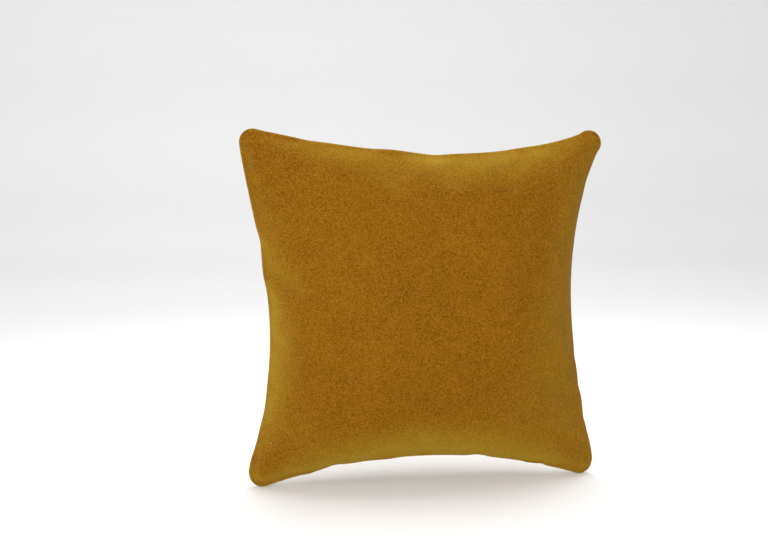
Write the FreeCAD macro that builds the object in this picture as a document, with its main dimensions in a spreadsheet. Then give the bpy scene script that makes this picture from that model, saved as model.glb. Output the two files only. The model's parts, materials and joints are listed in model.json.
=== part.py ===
import FreeCAD, Part

# A square throw pillow: a velvet cover with a concealed zip along its lower seam, round a
# fibre-filled insert. Millimetres, +Z up. The pillow stands on its two lower ears. The seam
# lies in the XZ plane, the front panel faces -Y, and the origin is under the middle of the
# lower edge. The lower seam is an arc, so every zip piece is turned about that arc's centre.
import math
import os
import Sketcher

doc = FreeCAD.newDocument("ThrowPillow")
sheet = doc.addObject("Spreadsheet::Sheet", "Sizes")

SIZES = [
    # alias, value in mm, what it is
    ("cover_width", 440, "ear tip to ear tip, across"),
    ("cover_height", 440, "ear tip to ear tip, upright"),
    ("cover_depth", 140, "front crown to back crown"),
    ("edge_sag", 32, "how far each side pulls in between its ears"),
    ("ear_radius", 16, "rounding of each ear in the seam plane"),
    ("fabric_gauge", 1.2, "velvet and its backing"),
    ("edge_wall", 2.6, "velvet measured across a sloping side"),
    ("ear_wall", 5.0, "velvet bunched in the ears"),
    ("seam_allowance", 10, "width of the turned-in seam edges"),
    ("thread_gauge", 0.5, "sewing thread"),
    ("stitch_inset", 2.4, "seam line inside the cover's edge"),
    ("overlock_margin", 1, "overlock inside the velvet bunched in the ears"),
    ("overlock_gauge", 0.3, "thread build-up on each raw edge"),
    ("zip_length", 300, "end to end of the zip's stops"),
    ("zip_recess", 9.5, "zip centre behind the seam line"),
    ("slot_margin", 10, "slot beyond each end of the zip"),
    ("slot_clearance", 0.4, "slider's side to the cover's lip"),
    ("tape_gauge", 0.5, "zip tape"),
    ("tape_reach", 10, "tape's outer edge from the zip's centre"),
    ("tape_end", 6, "tape beyond each stop"),
    ("stitch_row", 7.5, "zip stitching from the zip's centre"),
    ("coil_width", 2.0, "each coil, across the zip"),
    ("coil_gauge", 1.8, "each coil, through the zip"),
    ("coil_gap", 1.6, "room between the coils for the slider's post"),
    ("stop_length", 3, "each stop, along the zip"),
    ("tack_length", 9, "bar tack across the zip"),
    ("tack_width", 1.6, "bar tack along the zip"),
    ("slider_length", 8.5, "slider body, along the zip"),
    ("wing_gauge", 0.9, "slider's two plates"),
    ("rail_width", 0.6, "slider's turned-in sides"),
    ("run_clearance", 0.3, "slider to the coils, the tape and the stops"),
    ("post_length", 2.4, "slider's dividing post"),
    ("post_width", 1.0, "slider's dividing post"),
    ("crown_length", 5, "arch that holds the pull"),
    ("crown_width", 1.4, "arch, across the zip"),
    ("crown_bar", 0.8, "arch's outer bar"),
    ("crown_leg", 1.0, "arch's legs"),
    ("crown_opening", 1.8, "height of the opening in the arch"),
    ("pull_length", 14, "pull tab, from its pivot bar"),
    ("pull_width", 5, "pull tab"),
    ("pull_gauge", 0.9, "pull tab"),
    ("pull_bar", 1.1, "pivot bar of the pull"),
    ("window_width", 2.4, "window beside the pivot bar"),
    ("window_reach", 3.8, "window's far edge from the pivot"),
    ("insert_inset", 14, "insert's seam inside the cover's seam"),
    ("insert_ear_radius", 12, "rounding of the insert's ears"),
    ("insert_gauge", 0.5, "insert's cotton shell"),
    ("insert_wall", 1.2, "insert's shell measured across a sloping side"),
    ("insert_ear_wall", 3.0, "insert's shell bunched in the ears"),
    ("insert_allowance", 7, "width of the insert's turned-in seam edges"),
    ("insert_clearance", 0.8, "insert to the cover at the crowns"),
    ("fill_clearance", 0.5, "filling to the insert's shell"),
    ("closing_length", 150, "topstitched filling opening"),
    ("label_width", 30, "labels, along the seam"),
    ("label_reach", 11, "labels, from their bend to their free end"),
    ("label_root", 3.5, "label caught in its seam"),
    ("label_gauge", 0.6, "folded label, two layers"),
    ("label_gap", 2.2, "label's bend from the insert's seam"),
]

# The crowned form as levels from the seam to the crown: share of the half depth, share of the
# half width at the ears, share of the edge sag, and ear radius as a share of the half width
# (none at the seam, where the sheet's radius holds).
LEVELS = [
    (0.00, 1.000, 1.00, None),
    (0.17, 0.930, 0.75, 0.14),
    (0.42, 0.810, 0.45, 0.24),
    (0.68, 0.620, 0.20, 0.40),
    (0.87, 0.400, 0.06, 0.58),
    (1.00, 0.180, 0.02, 0.62),
]

# A label's leg leans a little less than the cover's side that it hangs beside.
LABEL_LEAN = 0.9


class Size:
    """A length with the spreadsheet expression that it comes from."""

    def __init__(self, text, value):
        self.text = text
        self.value = float(value)

    @staticmethod
    def of(other):
        return other if isinstance(other, Size) else Size(repr(float(other)), other)

    def __add__(self, other):
        other = Size.of(other)
        return Size(f"({self.text} + {other.text})", self.value + other.value)

    def __sub__(self, other):
        other = Size.of(other)
        return Size(f"({self.text} - {other.text})", self.value - other.value)

    def __mul__(self, other):
        other = Size.of(other)
        return Size(f"({self.text} * {other.text})", self.value * other.value)

    def __truediv__(self, other):
        other = Size.of(other)
        return Size(f"({self.text} / {other.text})", self.value / other.value)

    def __neg__(self):
        return Size(f"(0 - {self.text})", -self.value)


def fill_sheet():
    """Writes the driving sizes into the spreadsheet, one row each."""
    for row, (alias, value, note) in enumerate(SIZES, start=1):
        sheet.set(f"A{row}", note)
        sheet.set(f"B{row}", str(value))
        sheet.setAlias(f"B{row}", alias)
    doc.recompute()


def size(alias):
    return Size(f"Sizes.{alias}", sheet.get(alias))


def bind(thing, path, amount):
    """Ties a property of an object to the spreadsheet."""
    thing.setExpression(path, Size.of(amount).text)


# ---- sketches -------------------------------------------------------------------------------


def new_body(label):
    body = doc.addObject("PartDesign::Body", label)
    body.Label = label
    return body


def new_sketch(body, name, plane, along=0, up=0, out=0):
    """A sketch on one of the body's origin planes, moved in the plane and off it."""
    sketch = body.newObject("Sketcher::SketchObject", name)
    role = [f for f in body.Origin.OriginFeatures if f.Role == plane][0]
    sketch.AttachmentSupport = [(role, "")]
    sketch.MapMode = "FlatFace"
    for axis, amount in (("x", along), ("y", up), ("z", out)):
        amount = Size.of(amount)
        setattr(sketch.AttachmentOffset.Base, axis, amount.value)
        bind(sketch, f"AttachmentOffset.Base.{axis}", amount)
    return sketch


def pin_point(sketch, geometry, end, x, y):
    """Fixes a point of a sketch by its two distances from the sketch's origin."""
    for kind, amount in (("DistanceX", x), ("DistanceY", y)):
        index = sketch.addConstraint(
            Sketcher.Constraint(kind, -1, 1, geometry, end, amount.value)
        )
        bind(sketch, f"Constraints[{index}]", amount)


def polygon(sketch, points):
    """A closed outline of straight lines through points given as pairs of sizes."""
    points = [(Size.of(x), Size.of(y)) for x, y in points]
    corners = [FreeCAD.Vector(x.value, y.value, 0) for x, y in points]
    lines = [
        sketch.addGeometry(Part.LineSegment(a, b))
        for a, b in zip(corners, corners[1:] + corners[:1])
    ]
    for line, following in zip(lines, lines[1:] + lines[:1]):
        sketch.addConstraint(Sketcher.Constraint("Coincident", line, 2, following, 1))
    for line, (x, y) in zip(lines, points):
        pin_point(sketch, line, 1, x, y)


def rectangle(sketch, left, right, low, high):
    polygon(sketch, [(left, low), (right, low), (right, high), (left, high)])


def round_dot(sketch, x, y, diameter):
    """A circle at a place given by sizes."""
    x, y, diameter = Size.of(x), Size.of(y), Size.of(diameter)
    centre = FreeCAD.Vector(x.value, y.value, 0)
    dot = sketch.addGeometry(
        Part.Circle(centre, FreeCAD.Vector(0, 0, 1), diameter.value / 2)
    )
    pin_point(sketch, dot, 3, x, y)
    index = sketch.addConstraint(Sketcher.Constraint("Diameter", dot, diameter.value))
    bind(sketch, f"Constraints[{index}]", diameter)


def side_radius(reach, sag):
    """Radius of an inward arc that is tangent to two ears, plus the ears' radius."""
    return (reach * reach + sag * sag) / (sag * 2)


def ear_outline(sketch, half_width, half_height, radius, sag):
    """Four inward side arcs joined by four rounded ears, centred on the sketch's origin."""
    reach_x, reach_y = half_width - radius, half_height - radius
    side_x = side_radius(reach_x, sag) - radius
    side_y = side_radius(reach_y, sag) - radius
    # Each side arc, in order round the outline: its centre, its radius and the way it faces.
    sides = [
        ((0.0, -(half_height - sag + side_x).value), side_x, 90),
        (((half_width - sag + side_y).value, 0.0), side_y, 180),
        ((0.0, (half_height - sag + side_x).value), side_x, 270),
        ((-(half_width - sag + side_y).value, 0.0), side_y, 0),
    ]
    ears = [(1, -1), (1, 1), (-1, 1), (-1, -1)]
    up = FreeCAD.Vector(0, 0, 1)

    def angle(centre, point):
        return math.atan2(point[1] - centre[1], point[0] - centre[0])

    arcs, ear_ids = [], []
    for k, (centre, side, facing) in enumerate(sides):
        before, after = ears[k - 1], ears[k]
        ends = [(e[0] * reach_x.value, e[1] * reach_y.value) for e in (before, after)]
        first, last = angle(centre, ends[1]), angle(centre, ends[0])
        middle = FreeCAD.Vector(*centre, 0)
        circle = Part.Circle(middle, up, side.value)
        arcs.append(sketch.addGeometry(Part.ArcOfCircle(circle, first, last)))
        following = sides[(k + 1) % 4]
        start = angle(ends[1], centre)
        stop = angle(ends[1], following[0])
        circle = Part.Circle(FreeCAD.Vector(*ends[1], 0), up, radius.value)
        ear_ids.append(sketch.addGeometry(Part.ArcOfCircle(circle, start, stop)))
    for k in range(4):
        # a side arc runs clockwise round its own centre, so its start meets the next ear
        sketch.addConstraint(Sketcher.Constraint("Tangent", arcs[k], 1, ear_ids[k], 1))
        sketch.addConstraint(
            Sketcher.Constraint("Tangent", ear_ids[k], 2, arcs[(k + 1) % 4], 2)
        )
    for k, (x, y) in enumerate(ears):
        pin_point(sketch, ear_ids[k], 3, reach_x * x, reach_y * y)
    for k, wanted in enumerate([side_x, side_y, side_x, side_y]):
        for arc, amount in ((arcs[k], wanted), (ear_ids[k], radius)):
            index = sketch.addConstraint(Sketcher.Constraint("Radius", arc, amount.value))
            bind(sketch, f"Constraints[{index}]", amount)


# ---- features -------------------------------------------------------------------------------


def pad(body, name, sketch, length, both_ways=False, reversed_way=False):
    feature = body.newObject("PartDesign::Pad", name)
    feature.Profile = sketch
    feature.Length = Size.of(length).value
    bind(feature, "Length", length)
    feature.Midplane = both_ways
    feature.Reversed = reversed_way
    return feature


def turned(body, name, sketch, degrees, kind="Revolution"):
    """A revolution or groove about the sketch's own horizontal axis, equal both ways."""
    feature = body.newObject(f"PartDesign::{kind}", name)
    feature.Profile = sketch
    feature.ReferenceAxis = (sketch, ["H_Axis"])
    feature.Angle = Size.of(degrees).value
    bind(feature, "Angle", degrees)
    feature.Midplane = True
    return feature


def loft(body, name, sketches, kind="AdditiveLoft"):
    feature = body.newObject(f"PartDesign::{kind}", name)
    feature.Profile = sketches[0]
    feature.Sections = sketches[1:]
    feature.Ruled = False
    return feature


def crowned_sketches(body, name, side, form, first_depth=0.0):
    """One outline for each level of a half form; side is 1 for the front, -1 for the back."""
    sketches = []
    for number, (depth, ears, sag, rounding) in enumerate(LEVELS):
        bunched = form["ear_wall"] - form["wall"]
        wall = form["wall"] + bunched * sag
        half_width = form["half_width"] * ears - wall
        half_height = form["half_height"] * ears - wall
        radius = form["ear_radius"] - wall if rounding is None else half_width * rounding
        level_sag = (form["sag"] - bunched) * sag
        out = (form["crown"] - first_depth) * depth + first_depth
        sketch = new_sketch(
            body, f"{name}_level_{number}", "XZ_Plane", up=centre_height, out=out * side
        )
        ear_outline(sketch, half_width, half_height, radius, level_sag)
        sketches.append(sketch)
    return sketches


fill_sheet()

# ---- sizes worked out from the sheet ----------------------------------------------------------

half_width = size("cover_width") / 2
half_height = size("cover_height") / 2
half_depth = size("cover_depth") / 2
centre_height = half_height
sag = size("edge_sag")
ear_radius = size("ear_radius")
fabric = size("fabric_gauge")
thread = size("thread_gauge")
turn_in = size("seam_allowance")

# The lower seam's arc, and the zip's line inside it.
seam_radius = side_radius(half_width - ear_radius, sag) - ear_radius
arc_height = sag - seam_radius
zip_line = seam_radius + size("zip_recess")


def turn_of(length):
    """The angle at the arc's centre, in degrees, of a length along the zip."""
    return length / zip_line * (180 / math.pi)


half_zip = size("zip_length") / 2
half_slider = size("slider_length") / 2
half_tape = size("tape_gauge") / 2
half_coil = size("coil_gauge") / 2
coil_inner = size("coil_gap") / 2
coil_outer = coil_inner + size("coil_width")
slider_side = coil_outer + size("run_clearance") + size("rail_width")
slot_half = slider_side + size("slot_clearance")
slot_turn = turn_of((half_zip + size("slot_margin")) * 2)
slider_turn = turn_of(half_zip - size("stop_length") - size("run_clearance") - half_slider)
wing_inner = half_coil + size("run_clearance")
wing_outer = wing_inner + size("wing_gauge")
pivot_drop = wing_outer + size("crown_opening") / 2

# The insert, inside the cover.
insert_inset = size("insert_inset")
insert_fabric = size("insert_gauge")
insert_turn_in = size("insert_allowance")
insert_crown = half_depth - fabric - size("insert_clearance")

# How fast the cover's sides come in as they leave the seam: inset over depth.
side_slope = (half_width * (1 - LEVELS[1][1]) - sag * (1 - LEVELS[1][2])) / (
    half_depth * LEVELS[1][0]
)


# ---- soft pieces ------------------------------------------------------------------------------


def form(inset, radius, crown, wall=0.0, ear_wall=0.0):
    """What one half of a crowned form is made from; the outline is inset from the cover's."""
    return {
        "half_width": half_width - inset,
        "half_height": half_height - inset,
        "ear_radius": Size.of(radius),
        "wall": Size.of(wall),
        "ear_wall": Size.of(ear_wall),
        "sag": sag,
        "crown": crown,
    }


def cut_arc_slot(body, name, low, high, turn):
    """Cuts a slot as wide as the zip's opening, between two radii of the lower seam's arc."""
    sketch = new_sketch(body, f"{name}_outline", "YZ_Plane", up=arc_height)
    rectangle(sketch, -slot_half, slot_half, low, high)
    turned(body, name, sketch, turn, "Groove")


def cut_flat(body, name, sketch, depth, side=0):
    """Cuts from the seam plane into one half: 1 is the front, -1 the back, 0 half each way."""
    cut = body.newObject("PartDesign::Pocket", name)
    cut.Profile = sketch
    cut.Length = depth.value
    bind(cut, "Length", depth)
    cut.Midplane = side == 0
    cut.Reversed = side > 0


def seam_band(body, name, inset, near, far, radius):
    """A sketch of the band between two distances inside a seam."""
    sketch = new_sketch(body, f"{name}_outline", "XZ_Plane", up=centre_height)
    for distance in (near, far):
        reach = Size.of(inset) + distance
        ear_outline(sketch, half_width - reach, half_height - reach, radius - distance, sag)
    return sketch


def label_slot(body, name, place, near, far):
    """A sketch of the part of a seam where a label is caught, near and far from the side."""
    sketch = new_sketch(body, f"{name}_outline", "XZ_Plane", up=centre_height)
    edge = (half_width - sag) * place
    half = size("label_width") / 2
    ends = (edge - near * place, edge - far * place)
    low, high = (ends[1], ends[0]) if place > 0 else (ends[0], ends[1])
    rectangle(sketch, low, high, -half, half)
    return sketch


def half_shell(label, side, outside, inside, fabric_gauge, allowance, stitch):
    """A crowned skin with a flat turned-in edge at the seam, and a channel for its thread."""
    body = new_body(label)
    loft(body, "skin", crowned_sketches(body, "skin", side, outside))
    hollow = crowned_sketches(body, "hollow", side, inside, first_depth=fabric_gauge)
    loft(body, "hollow", hollow, "SubtractiveLoft")
    inset, radius = half_width - outside["half_width"], outside["ear_radius"]
    opening = new_sketch(body, "opening_outline", "XZ_Plane", up=centre_height)
    reach = inset + allowance
    ear_outline(opening, half_width - reach, half_height - reach, radius - allowance, sag)
    cut_flat(body, "opening", opening, fabric_gauge * 2, side)
    channel = seam_band(body, "thread_channel", inset, stitch, stitch + thread, radius)
    cut_flat(body, "thread_channel", channel, thread / 2, side)
    return body


def seam_thread(label, inset, stitch, radius):
    """The thread that joins two half shells, lying in both of their channels."""
    body = new_body(label)
    band = seam_band(body, "thread", inset, stitch, stitch + thread, radius)
    pad(body, "thread", band, thread, both_ways=True)
    return body


def label_in_seam(label, place, slot_near, slot_far, bend):
    """A folded label: its root lies in a seam, its leg hangs between cover and insert."""
    body = new_body(label)
    sketch = new_sketch(body, "fold_outline", "XY_Plane", out=centre_height)
    edge = half_width - sag
    half = size("label_gauge") / 2
    reach = size("label_reach")
    lean = side_slope * reach * LABEL_LEAN
    outer, inner = bend - half, bend + half
    if slot_near.value < bend.value:
        # caught in the seam that is nearer to the side
        points = [
            (slot_near, half), (inner, half), (inner, -half), (inner + lean, -half - reach),
            (outer + lean, -half - reach), (outer, -half), (slot_near, -half),
        ]
    else:
        points = [
            (slot_far, half), (outer, half), (outer, -half), (outer + lean, -half - reach),
            (inner + lean, -half - reach), (inner, -half), (slot_far, -half),
        ]
    polygon(sketch, [((edge - x) * place, y) for x, y in points])
    pad(body, "fold", sketch, size("label_width"), both_ways=True)
    return body


cover_outside = form(0, ear_radius, half_depth)
cover_inside = form(
    0, ear_radius, half_depth - fabric, size("edge_wall"), size("ear_wall")
)
insert_radius = size("insert_ear_radius")
insert_outside = form(insert_inset, insert_radius, insert_crown)
insert_inside = form(
    insert_inset, insert_radius, insert_crown - insert_fabric,
    size("insert_wall"), size("insert_ear_wall"),
)
label_bend = insert_inset - size("label_gap")
care_root = turn_in - size("label_root")
insert_root = insert_inset + size("label_root")
half_label = size("label_gauge") / 2


def cover_panel(label, side):
    """One velvet panel, with its zip opening and the allowance that the zip is sewn to."""
    body = half_shell(
        label, side, cover_outside, cover_inside, fabric, turn_in, size("stitch_inset")
    )
    caught = label_slot(body, "care_label_slot", 1, care_root, turn_in + fabric)
    cut_flat(body, "care_label_slot", caught, half_label, side)
    cut_arc_slot(body, "zip_slot", seam_radius - sag, seam_radius + turn_in + fabric, slot_turn)
    # The allowance at the zip: in from the lip, then out under the tape.
    lip = new_sketch(body, "zip_allowance_outline", "YZ_Plane", up=arc_height)
    under = zip_line - half_tape
    root = seam_radius + side_slope * slot_half
    near, far = slot_half, slot_half + fabric
    reach = size("tape_reach")
    points = [
        (near, root), (far, root + side_slope * fabric), (far, under - fabric),
        (reach, under - fabric), (reach, under), (near, under),
    ]
    polygon(lip, [(y * -side, r) for y, r in points])
    turned(body, "zip_allowance", lip, slot_turn)
    return body


def overlock(label):
    """Thread wrapped over the two raw edges inside the cover."""
    body = new_body(label)
    near = size("ear_wall") + size("overlock_margin")
    far = turn_in + size("overlock_gauge")
    wrap = seam_band(body, "wrap", 0, near, far, ear_radius)
    pad(body, "wrap", wrap, (fabric + size("overlock_gauge")) * 2, both_ways=True)
    edges = seam_band(body, "edges", 0, near, turn_in, ear_radius)
    cut_flat(body, "edges", edges, fabric * 2)
    caught = label_slot(body, "label_slot", 1, care_root, turn_in + fabric)
    cut_flat(body, "label_slot", caught, half_label * 2)
    cut_arc_slot(body, "zip_slot", seam_radius, zip_line + turn_in, slot_turn)
    return body


def filling(label):
    """The fibre filling, a crowned solid inside the insert's shell."""
    body = new_body(label)
    inset = insert_turn_in + size("fill_clearance")
    crown = insert_crown - insert_fabric - size("fill_clearance")
    inside = form(insert_inset + inset, insert_radius - inset, crown)
    for side, name in ((1, "front_half"), (-1, "back_half")):
        loft(body, name, crowned_sketches(body, name, side, inside))
    return body


front = cover_panel("cover_front_panel", 1)
back = cover_panel("cover_back_panel", -1)

cover_thread = seam_thread("cover_seam_thread", 0, size("stitch_inset"), ear_radius)
cut_arc_slot(cover_thread, "zip_slot", seam_radius, zip_line, slot_turn)
raw_edges = overlock("cover_overlock")
care_label = label_in_seam("care_label", 1, care_root, turn_in, label_bend)

shells = [
    half_shell(
        label, side, insert_outside, insert_inside, insert_fabric, insert_turn_in,
        size("stitch_inset"),
    )
    for label, side in (("insert_shell_front", 1), ("insert_shell_back", -1))
]
for shell, side in zip(shells, (1, -1)):
    caught = label_slot(shell, "insert_label_slot", -1, label_bend, insert_root)
    cut_flat(shell, "insert_label_slot", caught, half_label, side)
insert_thread = seam_thread(
    "insert_seam_thread", insert_inset, size("stitch_inset"), insert_radius
)
caught = label_slot(insert_thread, "insert_label_slot", -1, label_bend, insert_root)
cut_flat(insert_thread, "insert_label_slot", caught, half_label * 2)
insert_label = label_in_seam("insert_label", -1, insert_inset, insert_root, label_bend)
fibre = filling("insert_filling")


# ---- zip --------------------------------------------------------------------------------------


def arc_body(label, angle=None, height=arc_height):
    """A body whose origin is an arc's centre, turned along the arc by an angle."""
    body = new_body(label)
    place = FreeCAD.Vector(0, 0, height.value)
    turn = FreeCAD.Rotation(FreeCAD.Vector(0, 1, 0), angle.value if angle else 0)
    body.Placement = FreeCAD.Placement(place, turn)
    bind(body, "Placement.Base.z", height)
    if angle:
        bind(body, "Placement.Rotation.Angle", angle)
    return body


def arc_bar(body, name, sides, low, high, turn):
    """A bar of rectangular section bent along the arc: sides across it, low and high radii."""
    sketch = new_sketch(body, f"{name}_outline", "YZ_Plane")
    rectangle(sketch, sides[0], sides[1], low, high)
    return turned(body, name, sketch, turn)


def both_sides(near, far):
    """The two spans across the zip, front (-Y) and back, of something near and far from it."""
    return {"front": (-far, -near), "back": (near, far)}


coil_turn = turn_of((half_zip - size("stop_length")) * 2)
stop_turn = turn_of(half_zip - size("stop_length") / 2)
tape_turn = turn_of((half_zip + size("tape_end")) * 2)

for name, span in both_sides(coil_outer, size("tape_reach")).items():
    tape = arc_body(f"zip_tape_{name}")
    arc_bar(tape, "tape", span, zip_line - half_tape, zip_line + half_tape, tape_turn)

for name, span in both_sides(coil_inner, coil_outer).items():
    coil = arc_body(f"zip_coil_{name}")
    arc_bar(coil, "coil", span, zip_line - half_coil, zip_line + half_coil, coil_turn)

bottom_stop = arc_body("zip_bottom_stop", -stop_turn)
one_stop = turn_of(size("stop_length"))
span = (-coil_outer, coil_outer)
arc_bar(bottom_stop, "stop", span, zip_line - half_coil, zip_line + half_coil, one_stop)

top_stops = arc_body("zip_top_stops", stop_turn)
for name, span in both_sides(coil_inner, coil_outer).items():
    low, high = zip_line - half_coil, zip_line + half_coil
    arc_bar(top_stops, f"stop_{name}", span, low, high, one_stop)

stitching = arc_body("zip_stitching")
row = size("stitch_row")
on_tape = zip_line + half_tape
for name, span in both_sides(row, row + thread).items():
    arc_bar(stitching, f"row_{name}", span, on_tape, on_tape + thread, tape_turn)

tack_turn = turn_of(half_zip + size("tape_end") - size("tack_width") / 2)
half_tack = size("tack_length") / 2
tacks = []
for name, angle in (("closed", tack_turn), ("open", -tack_turn)):
    tack = arc_body(f"zip_tack_{name}_end", angle)
    span = (-half_tack, half_tack)
    arc_bar(tack, "tack", span, on_tape, on_tape + thread, turn_of(size("tack_width")))
    tacks.append(tack)

insert_reach = half_width - insert_inset - insert_radius
insert_seam_radius = side_radius(insert_reach, sag) - insert_radius
insert_arc_height = insert_inset + sag - insert_seam_radius
closing = arc_body("insert_closing_stitch", height=insert_arc_height)
closing_turn = size("closing_length") / insert_seam_radius * (180 / math.pi)
edge = insert_seam_radius
arc_bar(closing, "stitch", (-thread, thread), edge - thread, edge, closing_turn)

# The slider: two plates with turned-in sides, a post between them and an arch outside.
slider = arc_body("zip_slider", slider_turn)
section = new_sketch(slider, "plates_outline", "YZ_Plane", up=zip_line)
rail_inner = slider_side - size("rail_width")
rail_end = half_tape + size("run_clearance")
for way in (1, -1):
    points = [
        (-slider_side, wing_outer), (slider_side, wing_outer), (slider_side, rail_end),
        (rail_inner, rail_end), (rail_inner, wing_inner), (-rail_inner, wing_inner),
        (-rail_inner, rail_end), (-slider_side, rail_end),
    ]
    polygon(section, [(y, r * way) for y, r in points])
pad(slider, "plates", section, size("slider_length"), both_ways=True)
post = new_sketch(slider, "post_outline", "XY_Plane", out=zip_line)
half_post = size("post_width") / 2
rectangle(post, half_slider - size("post_length"), half_slider, -half_post, half_post)
pad(slider, "post", post, wing_inner * 2 + size("wing_gauge"), both_ways=True)
arch = new_sketch(slider, "arch_outline", "XZ_Plane", up=zip_line)
half_crown = size("crown_length") / 2
arch_top = wing_outer + size("crown_opening") + size("crown_bar")
sink = wing_outer - size("wing_gauge") / 2
points = [(-half_crown, -sink), (-half_crown, -arch_top), (half_crown, -arch_top)]
points += [(half_crown, -sink)]
polygon(arch, points)
leg = half_crown - size("crown_leg")
rectangle(arch, -leg, leg, -(arch_top - size("crown_bar")), -wing_outer)
pad(slider, "arch", arch, size("crown_width"), both_ways=True)

# The pull: a plate with a window beside its pivot bar, lying towards the middle of the zip.
pull = arc_body("zip_pull_tab", slider_turn)
plate = new_sketch(pull, "plate_outline", "XY_Plane", out=zip_line - pivot_drop)
half_bar = size("pull_bar") / 2
half_pull = size("pull_width") / 2
rectangle(plate, -size("pull_length"), half_bar, -half_pull, half_pull)
half_window = size("window_width") / 2
rectangle(plate, -size("window_reach"), -half_bar, -half_window, half_window)
pad(pull, "plate", plate, size("pull_gauge"), both_ways=True)
bar = new_sketch(pull, "bar_outline", "XZ_Plane", up=zip_line - pivot_drop)
round_dot(bar, 0, 0, size("pull_bar"))
pad(pull, "bar", bar, size("pull_width"), both_ways=True)

# ---- writing ----------------------------------------------------------------------------------

doc.recompute()
for thing in doc.Objects:
    if any(state in ("Invalid", "Error") for state in thing.State):
        raise RuntimeError(f"{thing.Label} did not build: {thing.State}")

bodies = [thing for thing in doc.Objects if thing.TypeId == "PartDesign::Body"]
for body in bodies:
    if body.Shape.isNull() or not body.Shape.isValid() or not body.Shape.Solids:
        raise RuntimeError(f"{body.Label} has no valid solid")

os.makedirs("parts", exist_ok=True)
for body in bodies:
    body.Shape.exportStep(os.path.join("parts", f"{body.Label}.step"))
    print(body.Label, len(body.Shape.Solids), round(body.Shape.Volume, 1))
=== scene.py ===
import json
import math

import bpy
import numpy as np
from mathutils import Matrix, Vector, noise


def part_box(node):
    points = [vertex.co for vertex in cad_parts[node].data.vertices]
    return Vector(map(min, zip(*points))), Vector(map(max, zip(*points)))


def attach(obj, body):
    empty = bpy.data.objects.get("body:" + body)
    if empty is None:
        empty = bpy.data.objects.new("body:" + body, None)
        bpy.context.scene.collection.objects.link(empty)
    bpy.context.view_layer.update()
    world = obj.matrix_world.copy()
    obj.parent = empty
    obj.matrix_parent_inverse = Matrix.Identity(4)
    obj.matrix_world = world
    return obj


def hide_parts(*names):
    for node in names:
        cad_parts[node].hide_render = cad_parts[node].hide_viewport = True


# A square velvet throw pillow. Metres, +Z up. The seam lies in the XZ plane, the front panel
# faces -Y, and the zip runs along the lower seam, which is an arc about the slider's joint.

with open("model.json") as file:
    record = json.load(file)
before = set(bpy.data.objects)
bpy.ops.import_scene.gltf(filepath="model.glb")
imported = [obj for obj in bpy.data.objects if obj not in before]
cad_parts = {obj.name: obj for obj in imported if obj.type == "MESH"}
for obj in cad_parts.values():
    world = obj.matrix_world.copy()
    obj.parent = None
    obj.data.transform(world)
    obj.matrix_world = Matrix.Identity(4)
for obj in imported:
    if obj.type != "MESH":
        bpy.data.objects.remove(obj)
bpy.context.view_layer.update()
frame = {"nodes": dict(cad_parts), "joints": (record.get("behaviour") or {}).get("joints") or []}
MM = 0.001

low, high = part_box("cover_front_panel")
HALF = (high.x - low.x) / 2
MIDDLE = (low.z + high.z) / 2
CROWN = -low.y
ARC = [j for j in frame["joints"] if j["name"] == "zip_slide"][0]["pos_m"][2]
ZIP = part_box("zip_tape_front")[1].z - ARC - 0.25 * MM

EAR = 16 * MM  # rounding of each ear
CUT = 457 * MM  # side of each flat cut panel
CUT_EASE = 15 * MM  # how far the cut sides ease in at their middle
VELVET_THICK = 1.2 * MM  # thickness
COTTON_THICK = 0.5 * MM  # thickness
INSERT_SHARE = 0.93  # the insert's size as a share of the cover's
SEAM_INSET = 2.65 * MM  # seam stitches, inside the edge
LABEL_HALF = 15 * MM  # half a label's length along its seam
LABEL_ROOM = 16 * MM  # half the length of seam that holds a label
OPEN_END = 164 * MM  # end of the zip's opening, from its middle
OPEN_BLEND = 12 * MM  # where the opening's lips close up

# The cloth simulation: cells along each side, and frames to draw the seam up and to fill.
CLOTH_CELLS = 72
SEW_FRAMES = 12
FILL_FRAMES = 20

# ---- the seam's line --------------------------------------------------------------------------

# How each side of the seam pulls in between its ears: how deep, where along it, how pinched.
SIDES = {
    "right": (33.6 * MM, 0.58, 0.78),
    "top": (28.8 * MM, 0.43, 0.90),
    "left": (29.9 * MM, 0.55, 1.03),
}
# Where the seam wavers: place along the side, reach along it, and how much further in it goes.
WAVERS = {
    "right": [
        (0.04, 0.05, -2.0 * MM), (0.14, 0.018, 1.0 * MM), (0.20, 0.02, -0.7 * MM),
        (0.245, 0.018, 0.9 * MM), (0.34, 0.02, 0.8 * MM), (0.90, 0.03, 0.8 * MM),
    ],
    "top": [
        (0.20, 0.05, -0.8 * MM), (0.47, 0.045, 1.8 * MM),
        (0.60, 0.05, -1.6 * MM), (0.85, 0.04, 1.0 * MM),
    ],
    "left": [
        (0.28, 0.03, 1.6 * MM), (0.38, 0.04, -1.8 * MM),
        (0.80, 0.05, 1.2 * MM), (0.97, 0.04, -2.0 * MM),
    ],
}
ROUND = ("bottom", "right", "top", "left")
EARS = [(-1, -1), (1, -1), (1, 1), (-1, 1)]


def pulled_in(side, t):
    """How far a side's line lies inside the straight line between its ears."""
    if side == "bottom":
        reach = HALF - EAR
        radius = math.hypot(reach, EAR - ARC)
        return np.sqrt(radius**2 - ((2 * t - 1) * reach) ** 2) - (EAR - ARC)
    depth, deepest, pinch = SIDES[side]
    inward = depth * np.sin(math.pi * t ** (math.log(0.5) / math.log(deepest))) ** pinch
    for place, reach, much in WAVERS[side]:
        inward = inward + much * np.exp(-(((t - place) / reach) ** 2))
    return inward


def run_along(line):
    """How far along a line each of its points is."""
    return np.concatenate([[0.0], np.cumsum(np.linalg.norm(np.diff(line, axis=0), axis=1))])


def evenly(line, count):
    """The same line as count equal steps."""
    run = run_along(line)
    at = np.linspace(0.0, run[-1], count + 1)
    return np.stack([np.interp(at, run, line[:, k]) for k in range(line.shape[1])], axis=1)


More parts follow.
